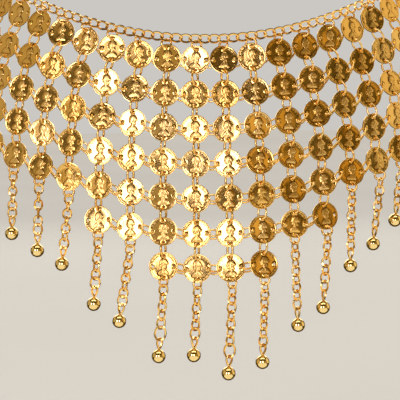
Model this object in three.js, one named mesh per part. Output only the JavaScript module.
// Coin belt for stage wear: a waist chain that closes with a hook behind, a front net of stamped
// coins tied by jump rings into straight columns, and a link tail with a hollow ball under each column.
//
// Millimetres, +Z up. The front faces -Y and +X is on the right seen from the front. The origin is
// the middle of the loop that the hips fill, half way between the chain's front dip and its back.
// The whole net lies on a smooth hip form: each level is an ellipse, and a place on it is given by its
// arc length from the front middle, positive towards +X.
import * as THREE from 'three';

// The hip form. Half-axes at the chain; both grow row by row below it.
const HIP = { side: 160, front: 125, sideFlare: 20, flareRows: 4, frontFlarePerRow: 2.7 };
// The chain is low in front and level behind: it rises over this arc length.
const CHAIN_RISE = 81;
const CHAIN_RISE_ARC = 300;
const CHAIN_MIDDLE = CHAIN_RISE / 2;

const COIN = { radius: 9, thickness: 1 };
const ROWS = 7;
const ROW_PITCH = 22;
const CHAIN_TO_COIN = 13.3;
// Columns hang closest at the chain, where three chain links go to one column, and spread below.
const COLUMN_PITCH = 18;
const COLUMN_SPREAD = 3.5;
const SPREAD_ROWS = 2.4;

// Jump rings of 1.1 mm wire. Between two coins a ring stands half turned, so that its two wires lie
// between the inner and outer half-widths. The rings at the chain and at the tail lie flat and show
// their full half-width. The tail's ring reaches drop below its coin and bends inwards at turn.
const RING = { outer: 2.3, inner: 1.2, bulge: 0.25, fullHalf: 3.4, turn: 2.5, drop: 4.2 };
const LINK = { perColumn: 3, height: 5.9, waist: 2.8, thickness: 1.8 };
const CHAIN_SEGMENTS_FRONT = 6;
const CHAIN_SEGMENTS_BACK = 10;
// The tail's links stand square to each other, and both kinds are turned half way to the front.
const TAIL_LINK = { pitch: 4.9, width: 6.2, wire: 1.2, waist: 1.8, turn: 45 };
// The hollow ball hangs on a teardrop eye, which is widest near its foot.
const EYE = { width: 3.5, height: 5.1, widest: 2.9 };
const BALL = { radius: 4.25, sides: 8, levels: [30, 60, 90, 120, 150], neck: 1.5, neckSink: 0.1 };
const CLASP = { wire: 1.2, ringRadius: 4.6, ringPlace: 7.5, hookLeft: -11, hookRight: 5.2, hookHalf: 1.7 };
const CLASP_MOUTH = { from: -7.5, to: -2 };
// Separate pieces keep this distance where they meet.
const CLEARANCE = 0.35;

// One row for each column from left to right: place counted in columns from the middle, how many
// coins it has, and its tail from the last coin's middle to the ball's middle, with its sideways lean.
const COLUMNS = [
  { place: -8.5, coins: 5, tail: 54, lean: -2 },
  { place: -7.5, coins: 5, tail: 56, lean: -2 },
  { place: -6.5, coins: 5, tail: 52, lean: -3 },
  { place: -5.5, coins: 5, tail: 55, lean: -3 },
  { place: -4.5, coins: 5, tail: 57, lean: -8 },
  { place: -3.5, coins: 6, tail: 54, lean: -5 },
  { place: -2.5, coins: 6, tail: 61, lean: -11 },
  { place: -1.5, coins: 7, tail: 57, lean: -5 },
  { place: -0.5, coins: 7, tail: 55, lean: -4 },
  { place: 0.5, coins: 7, tail: 67, lean: -4 },
  { place: 1.5, coins: 7, tail: 62, lean: -3 },
  { place: 2.5, coins: 6, tail: 65, lean: 2 },
  { place: 3.5, coins: 6, tail: 59, lean: -5 },
  { place: 4.5, coins: 5, tail: 61, lean: -2 },
  { place: 5.5, coins: 5, tail: 55, lean: -9 },
  { place: 6.5, coins: 5, tail: 48, lean: -8 },
  { place: 7.5, coins: 5, tail: 55, lean: -3 },
  { place: 8.5, coins: 5, tail: 53, lean: -2 },
];

const GOLD_COIN = new THREE.MeshStandardMaterial({ color: '#d8c07a', roughness: 0.28, metalness: 1 });
const GOLD_WIRE = new THREE.MeshStandardMaterial({ color: '#e3a63c', roughness: 0.22, metalness: 1 });
const radians = THREE.MathUtils.degToRad;

// ---- The hip form ---------------------------------------------------------------------------

// Half an ellipse is measured in this many steps.
const ARC_STEPS = 2000;

// The ellipse of one row, as a table of arc length against angle from the front middle.
function loopAtRow(row) {
  const flare = Math.sin(Math.min(1, row / HIP.flareRows) * Math.PI / 2);
  const side = HIP.side + HIP.sideFlare * flare;
  const front = HIP.front + HIP.frontFlarePerRow * row;
  const arcs = [0];
  for (let i = 1; i <= ARC_STEPS; i++) {
    const angle = Math.PI * (i - 0.5) / ARC_STEPS;
    const speed = Math.hypot(side * Math.cos(angle), front * Math.sin(angle));
    arcs.push(arcs[i - 1] + speed * Math.PI / ARC_STEPS);
  }
  return { side, front, arcs, half: arcs[ARC_STEPS] };
}

// Place and outward direction on a row's ellipse at an arc length from the front middle.
function placeOnLoop(loop, arc) {
  const wanted = Math.abs(arc);
  let low = 0;
  let high = ARC_STEPS;
  while (high - low > 1) {
    const middle = (low + high) >> 1;
    if (loop.arcs[middle] > wanted) high = middle;
    else low = middle;
  }
  const share = (wanted - loop.arcs[low]) / (loop.arcs[high] - loop.arcs[low]);
  const angle = Math.sign(arc) * Math.PI * (low + share) / ARC_STEPS;
  const along = new THREE.Vector3(loop.side * Math.cos(angle), loop.front * Math.sin(angle), 0).normalize();
  return {
    point: new THREE.Vector3(loop.side * Math.sin(angle), -loop.front * Math.cos(angle), 0),
    along,
    out: new THREE.Vector3(along.y, -along.x, 0),
  };
}

function chainHeight(arc) {
  const share = Math.min(1, Math.abs(arc) / CHAIN_RISE_ARC);
  return CHAIN_RISE * Math.sin(share * Math.PI / 2) ** 2 - CHAIN_MIDDLE;
}

const rowLoops = Array.from({ length: ROWS }, (_, row) => loopAtRow(row));
const chainLoop = rowLoops[0];

function columnArc(place, row) {
  return place * (COLUMN_PITCH + COLUMN_SPREAD * (1 - Math.exp(-row / SPREAD_ROWS)));
}

// The middles of a column's coins, each one row pitch below the last along the hip form.
function coinMiddles(column) {
  const middles = [];
  for (let row = 0; row < column.coins; row++) {
    const arc = columnArc(column.place, row);
    const { point } = placeOnLoop(rowLoops[row], arc);
    if (row === 0) {
      point.z = chainHeight(arc) - CHAIN_TO_COIN;
    } else {
      const above = middles[row - 1];
      const sideways = Math.hypot(point.x - above.x, point.y - above.y);
      point.z = above.z - Math.sqrt(ROW_PITCH ** 2 - sideways ** 2);
    }
    middles.push(point);
  }
  return middles;
}

// Each coin's own flat frame: across is level, up follows the column, out faces away from the hips.
function coinFrames(column) {
  const middles = coinMiddles(column);
  return middles.map((middle, row) => {
    const { along } = placeOnLoop(rowLoops[row], columnArc(column.place, row));
    const upper = middles[Math.max(0, row - 1)];
    const lower = middles[Math.min(middles.length - 1, row + 1)];
    const up = new THREE.Vector3().subVectors(upper, lower);
    up.addScaledVector(along, -up.dot(along)).normalize();
    return { middle, across: along, up, out: new THREE.Vector3().crossVectors(along, up) };
  });
}

// ---- Thin plates ----------------------------------------------------------------------------

// A corner of a plate, by its middle and the plate's outward direction and thickness.
function corner(point, out, thickness) {
  return {
    point,
    out,
    front: point.clone().addScaledVector(out, thickness / 2),
    back: point.clone().addScaledVector(out, -thickness / 2),
  };
}

// A plate of convex polygons that share corners. An edge that only one polygon has gets a side wall.
function plateGeometry(polygons) {
  const corners = [...new Set(polygons.flat())];
  const number = new Map(corners.map((item, i) => [item, 2 * i]));
  const name = (a, b) => `${number.get(a)} ${number.get(b)}`;
  const edges = new Set();
  for (const polygon of polygons) {
    polygon.forEach((a, i) => edges.add(name(a, polygon[(i + 1) % polygon.length])));
  }
  const index = [];
  for (const polygon of polygons) {
    for (let i = 1; i + 1 < polygon.length; i++) {
      const [a, b, c] = [polygon[0], polygon[i], polygon[i + 1]].map((item) => number.get(item));
      index.push(a, b, c, a + 1, c + 1, b + 1);
    }
    polygon.forEach((item, i) => {
      const next = polygon[(i + 1) % polygon.length];
      if (edges.has(name(next, item))) return;
      const [a, b] = [number.get(item), number.get(next)];
      index.push(a, a + 1, b + 1, a, b + 1, b);
    });
  }
  const positions = corners.flatMap((item) => [...item.front.toArray(), ...item.back.toArray()]);
  const geometry = new THREE.BufferGeometry();
  geometry.setAttribute('position', new THREE.Float32BufferAttribute(positions, 3));
  geometry.setIndex(index);
  geometry.computeVertexNormals();
  return geometry;
}

// ---- Coin columns ---------------------------------------------------------------------------

// Angles of a coin's corners. The ring wires leave the coin between outer and inner ring angles,
// and the sides are flat between plus and minus the side angle, where the next column's ring ends.
const RING_OUTER_ANGLE = 90 - THREE.MathUtils.radToDeg(Math.acos(RING.outer / COIN.radius));
const RING_INNER_ANGLE = 90 - THREE.MathUtils.radToDeg(Math.acos(RING.inner / COIN.radius));
const SIDE_ANGLE = 15;
const SHOULDER_ANGLE = (90 - RING_OUTER_ANGLE + SIDE_ANGLE) / 2;

// The coin's corners as a dictionary by place, and its polygon, seen from the front and running
// anticlockwise from the right side.
function coinCorners(frame) {
  const at = (degrees) => {
    const point = frame.middle.clone()
      .addScaledVector(frame.across, COIN.radius * Math.cos(radians(degrees)))
      .addScaledVector(frame.up, COIN.radius * Math.sin(radians(degrees)));
    return corner(point, frame.out, COIN.thickness);
  };
  const names = {
    rightTop: SIDE_ANGLE,
    shoulderRight: SHOULDER_ANGLE,
    topRightOuter: 90 - RING_OUTER_ANGLE,
    topRightInner: 90 - RING_INNER_ANGLE,
    topLeftInner: 90 + RING_INNER_ANGLE,
    topLeftOuter: 90 + RING_OUTER_ANGLE,
    shoulderLeft: 180 - SHOULDER_ANGLE,
    leftTop: 180 - SIDE_ANGLE,
    leftBottom: 180 + SIDE_ANGLE,
    hipLeft: 180 + SHOULDER_ANGLE,
    bottomLeftOuter: 270 - RING_OUTER_ANGLE,
    bottomLeftInner: 270 - RING_INNER_ANGLE,
    bottomRightInner: 270 + RING_INNER_ANGLE,
    bottomRightOuter: 270 + RING_OUTER_ANGLE,
    hipRight: 360 - SHOULDER_ANGLE,
    rightBottom: 360 - SIDE_ANGLE,
  };
  return Object.fromEntries(Object.entries(names).map(([key, angle]) => [key, at(angle)]));
}

// A corner half way between two others, moved sideways.
function cornerBetween(a, b, across, shift) {
  const point = new THREE.Vector3().addVectors(a.point, b.point).multiplyScalar(0.5);
  const out = new THREE.Vector3().addVectors(a.out, b.out).normalize();
  return corner(point.addScaledVector(across, shift), out, COIN.thickness);
}

// The jump ring between two coins of a column: two bowed wires with the ring's hole between them.
function ringBetween(upper, lower, across) {
  const leftOuter = cornerBetween(upper.bottomLeftOuter, lower.topLeftOuter, across, -RING.bulge);
  const leftInner = cornerBetween(upper.bottomLeftInner, lower.topLeftInner, across, -RING.bulge);
  const rightInner = cornerBetween(upper.bottomRightInner, lower.topRightInner, across, RING.bulge);
  const rightOuter = cornerBetween(upper.bottomRightOuter, lower.topRightOuter, across, RING.bulge);
  return [
    [lower.topLeftOuter, lower.topLeftInner, leftInner, leftOuter],
    [leftOuter, leftInner, upper.bottomLeftInner, upper.bottomLeftOuter],
    [lower.topRightInner, lower.topRightOuter, rightOuter, rightInner],
    [rightInner, rightOuter, upper.bottomRightOuter, upper.bottomRightInner],
  ];
}

// The lower part of the top ring, which ends just under the waist chain.
function ringToChain(coin, frame, chainPoint) {
  const reach = chainPoint.z - LINK.height / 2 - CLEARANCE;
  const at = (sideways) => {
    const point = frame.middle.clone().addScaledVector(frame.across, sideways);
    point.addScaledVector(frame.up, (reach - point.z) / frame.up.z);
    return corner(point, frame.out, COIN.thickness);
  };
  const [left, right] = [at(-RING.fullHalf), at(RING.fullHalf)];
  return [[coin.topLeftOuter, coin.topLeftInner, coin.topRightInner, coin.topRightOuter, right, left]];
}

// The bottom ring, which carries the tail.
function ringForTail(coin, frame) {
  const at = (sideways, below) => corner(
    frame.middle.clone().addScaledVector(frame.across, sideways).addScaledVector(frame.up, -below),
    frame.out, COIN.thickness,
  );
  const left = at(-RING.fullHalf, COIN.radius + RING.turn);
  const bottom = at(0, COIN.radius + RING.drop);
  const right = at(RING.fullHalf, COIN.radius + RING.turn);
  const { bottomLeftOuter, bottomLeftInner, bottomRightInner, bottomRightOuter } = coin;
  return [[bottomLeftOuter, left, bottom, right, bottomRightOuter, bottomRightInner, bottomLeftInner]];
}

// The ring on a coin's right side, which ends just short of the next column's coin.
function ringToSide(coin, nextCoin) {
  const towards = (from, to) => {
    const step = new THREE.Vector3().subVectors(from.point, to.point).setLength(CLEARANCE);
    return corner(to.point.clone().add(step), from.out, COIN.thickness);
  };
  const low = towards(coin.rightBottom, nextCoin.leftBottom);
  const high = towards(coin.rightTop, nextCoin.leftTop);
  return [[coin.rightBottom, low, high, coin.rightTop]];
}

function columnGeometry(columnIndex) {
  const column = COLUMNS[columnIndex];
  const frames = coinFrames(column);
  const coins = frames.map(coinCorners);
  const next = COLUMNS[columnIndex + 1];
  const nextCoins = next ? coinFrames(next).map(coinCorners) : [];
  const chainPoint = placeOnLoop(chainLoop, columnArc(column.place, 0)).point;
  chainPoint.z = chainHeight(columnArc(column.place, 0));
  const polygons = coins.map((coin) => Object.values(coin));
  polygons.push(...ringToChain(coins[0], frames[0], chainPoint));
  for (let row = 1; row < coins.length; row++) {
    polygons.push(...ringBetween(coins[row - 1], coins[row], frames[row].across));
    // In the top row the coins touch and the side rings lie behind them.
    if (row < nextCoins.length) polygons.push(...ringToSide(coins[row], nextCoins[row]));
  }
  polygons.push(...ringForTail(coins.at(-1), frames.at(-1)));
  return plateGeometry(polygons);
}

// ---- Tails ----------------------------------------------------------------------------------

// A closed skin through loops of points from top to bottom. Neighbouring loops have the same number
// of points, or the lower one has twice as many.
function skinGeometry(loops) {
  const starts = [];
  let count = 0;
  for (const loop of loops) {
    starts.push(count);
    count += loop.length;
  }
  const index = [];
  const last = loops.length - 1;
  for (let i = 1; i + 1 < loops[0].length; i++) index.push(0, i, i + 1);
  for (let i = 1; i + 1 < loops[last].length; i++) {
    index.push(starts[last], starts[last] + i + 1, starts[last] + i);
  }
  for (let n = 0; n < last; n++) {
    const upper = loops[n].length;
    const lower = loops[n + 1].length;
    const finer = lower / upper;
    for (let i = 0; i < upper; i++) {
      const a = starts[n] + i;
      const b = starts[n] + (i + 1) % upper;
      for (let j = 0; j < finer; j++) {
        const c = starts[n + 1] + i * finer + j;
        const d = starts[n + 1] + (i * finer + j + 1) % lower;
        index.push(a, c, d);
      }
      index.push(a, starts[n + 1] + ((i + 1) * finer) % lower, b);
    }
  }
  const positions = loops.flat().flatMap((point) => point.toArray());
  const geometry = new THREE.BufferGeometry();
  geometry.setAttribute('position', new THREE.Float32BufferAttribute(positions, 3));
  geometry.setIndex(index);
  geometry.computeVertexNormals();
  return geometry;
}

// A tail: links that stand by turns square to each other, the ball's eye, and the ball.
function tailGeometry(column) {
  const frame = coinFrames(column).at(-1);
  const hang = new THREE.Vector3(0, 0, -column.tail).addScaledVector(frame.across, column.lean).normalize();
  const deep = new THREE.Vector3().crossVectors(frame.across, hang).normalize();
  const wide = new THREE.Vector3().crossVectors(hang, deep).normalize();
  const linkDeep = deep.clone().applyAxisAngle(hang, radians(TAIL_LINK.turn));
  const linkWide = wide.clone().applyAxisAngle(hang, radians(TAIL_LINK.turn));
  const top = frame.middle.clone().addScaledVector(frame.up, -COIN.radius - RING.drop)
    .addScaledVector(hang, CLEARANCE);
  const fromMiddle = COIN.radius + RING.drop + CLEARANCE;
  const ballMiddle = column.tail - fromMiddle;
  const linkEnd = ballMiddle - BALL.radius - EYE.height;
  const links = Math.round(linkEnd / TAIL_LINK.pitch);
  const pitch = linkEnd / links;
  const point = (down, x, y) => top.clone().addScaledVector(hang, down)
    .addScaledVector(wide, x).addScaledVector(deep, y);
  const corners = [[1, 1], [-1, 1], [-1, -1], [1, -1]];
  const rectangle = (down, width, depth) => corners
    .map(([x, y]) => point(down, x * width / 2, y * depth / 2));
  const turned = (down, width, depth) => corners.map(([x, y]) => point(down, 0, 0)
    .addScaledVector(linkWide, x * width / 2).addScaledVector(linkDeep, y * depth / 2));
  const loops = [turned(0, TAIL_LINK.waist, TAIL_LINK.wire)];
  for (let i = 0; i < links; i++) {
    const across = i % 2 === 1;
    const width = across ? TAIL_LINK.width : TAIL_LINK.wire;
    const depth = across ? TAIL_LINK.wire : TAIL_LINK.width;
    loops.push(turned((i + 0.5) * pitch, width, depth));
    loops.push(turned((i + 1) * pitch, TAIL_LINK.waist, TAIL_LINK.waist));
  }
  loops.push(rectangle(linkEnd + EYE.widest, EYE.width, TAIL_LINK.wire));
  loops.push(rectangle(ballMiddle - BALL.radius + BALL.neckSink, BALL.neck, BALL.neck));
  for (const tilt of BALL.levels) {
    const ring = [];
    for (let i = 0; i < BALL.sides; i++) {
      const angle = radians(45 + 360 * i / BALL.sides);
      const radius = BALL.radius * Math.sin(radians(tilt));
      const down = ballMiddle - BALL.radius * Math.cos(radians(tilt));
      ring.push(point(down, radius * Math.cos(angle), radius * Math.sin(angle)));
    }
    loops.push(ring);
  }
  return skinGeometry(loops);
}

// ---- Waist chain and clasp ------------------------------------------------------------------

// A stretch of curb chain as a flat strip that is widest at each link's middle.
function chainGeometry(from, to, links) {
  const pair = (arc, height) => {
    const { point, out } = placeOnLoop(chainLoop, arc);
    point.z = chainHeight(arc);
    const low = point.clone();
    low.z -= height / 2;
    point.z += height / 2;
    return [corner(low, out, LINK.thickness), corner(point, out, LINK.thickness)];
  };
  const pitch = (to - from) / links;
  const pairs = [];
  for (let i = 0; i <= 2 * links; i++) {
    const end = i === 0 ? CLEARANCE / 2 : i === 2 * links ? -CLEARANCE / 2 : 0;
    pairs.push(pair(from + i * pitch / 2 + end, i % 2 ? LINK.height : LINK.waist));
  }
  const polygons = [];
  for (let i = 1; i < pairs.length; i++) {
    polygons.push([pairs[i - 1][0], pairs[i][0], pairs[i][1], pairs[i - 1][1]]);
  }
  return plateGeometry(polygons);
}

// The hook is one bent wire in the level plane. It goes round the clasp ring's wire and, at its
// other end, through the last chain link; its mouth is open towards the hips.
function hookGeometry() {
  const half = CLASP.hookHalf;
  const inside = chainLoop.front - half;
  const outside = chainLoop.front + half;
  const path = new THREE.CurvePath();
  const point = (x, y) => new THREE.Vector3(x, y, chainHeight(chainLoop.half));
  const bend = (x, side) => new THREE.CatmullRomCurve3([-90, -45, 0, 45, 90].map((degrees) => point(
    x + side * half * Math.cos(radians(degrees)),
    chainLoop.front + side * half * Math.sin(radians(degrees)),
  )));
  path.add(new THREE.LineCurve3(point(CLASP_MOUTH.to, inside), point(CLASP.hookRight, inside)));
  path.add(bend(CLASP.hookRight, 1));
  path.add(new THREE.LineCurve3(point(CLASP.hookRight, outside), point(CLASP.hookLeft, outside)));
  path.add(bend(CLASP.hookLeft, -1));
  path.add(new THREE.LineCurve3(point(CLASP.hookLeft, inside), point(CLASP_MOUTH.from, inside)));
  const section = new THREE.Shape();
  section.absarc(0, 0, CLASP.wire / 2, 0, Math.PI * 2);
  return new THREE.ExtrudeGeometry(section, { steps: 40, curveSegments: 3, extrudePath: path });
}

function claspRingGeometry() {
  const ring = new THREE.TorusGeometry(CLASP.ringRadius, CLASP.wire / 2, 6, 16);
  ring.rotateX(Math.PI / 2);
  return ring.translate(CLASP.ringPlace, chainLoop.front, chainHeight(chainLoop.half));
}

// ---- The belt -------------------------------------------------------------------------------

const belt = new THREE.Group();

function addPiece(name, geometry, material) {
  const mesh = new THREE.Mesh(geometry, material);
  mesh.name = name;
  belt.add(mesh);
}

COLUMNS.forEach((column, i) => {
  const number = String(i + 1).padStart(2, '0');
  addPiece(`coin_column_${number}`, columnGeometry(i), GOLD_COIN);
  addPiece(`tail_${number}`, tailGeometry(column), GOLD_WIRE);
});

const netHalf = COLUMNS.length * COLUMN_PITCH / 2;
const linkPitch = COLUMN_PITCH / LINK.perColumn;
const frontStretch = 2 * netHalf / CHAIN_SEGMENTS_FRONT;
for (let i = 0; i < CHAIN_SEGMENTS_FRONT; i++) {
  const from = -netHalf + i * frontStretch;
  const geometry = chainGeometry(from, from + frontStretch, Math.round(frontStretch / linkPitch));
  addPiece(`front_chain_${i + 1}`, geometry, GOLD_WIRE);
}

// Behind, each side runs from the net to its end of the clasp.
const claspEnds = [
  { side: 'left', turn: -1, end: -CLASP.hookLeft + CLASP.hookHalf + CLASP.wire / 2 },
  { side: 'right', turn: 1, end: CLASP.ringPlace + CLASP.ringRadius + CLASP.wire / 2 },
];
for (const { side, turn, end } of claspEnds) {
  const pieces = CHAIN_SEGMENTS_BACK / 2;
  const reach = chainLoop.half - end - CLEARANCE / 2;
  const stretch = (reach - netHalf) / pieces;
  for (let i = 0; i < pieces; i++) {
    const near = turn * (netHalf + i * stretch);
    const far = turn * (netHalf + (i + 1) * stretch);
    const geometry = chainGeometry(Math.min(near, far), Math.max(near, far), Math.round(stretch / linkPitch));
    addPiece(`back_chain_${side}_${i + 1}`, geometry, GOLD_WIRE);
  }
}
addPiece('clasp_hook', hookGeometry(), GOLD_WIRE);
addPiece('clasp_ring', claspRingGeometry(), GOLD_WIRE);

export default belt;
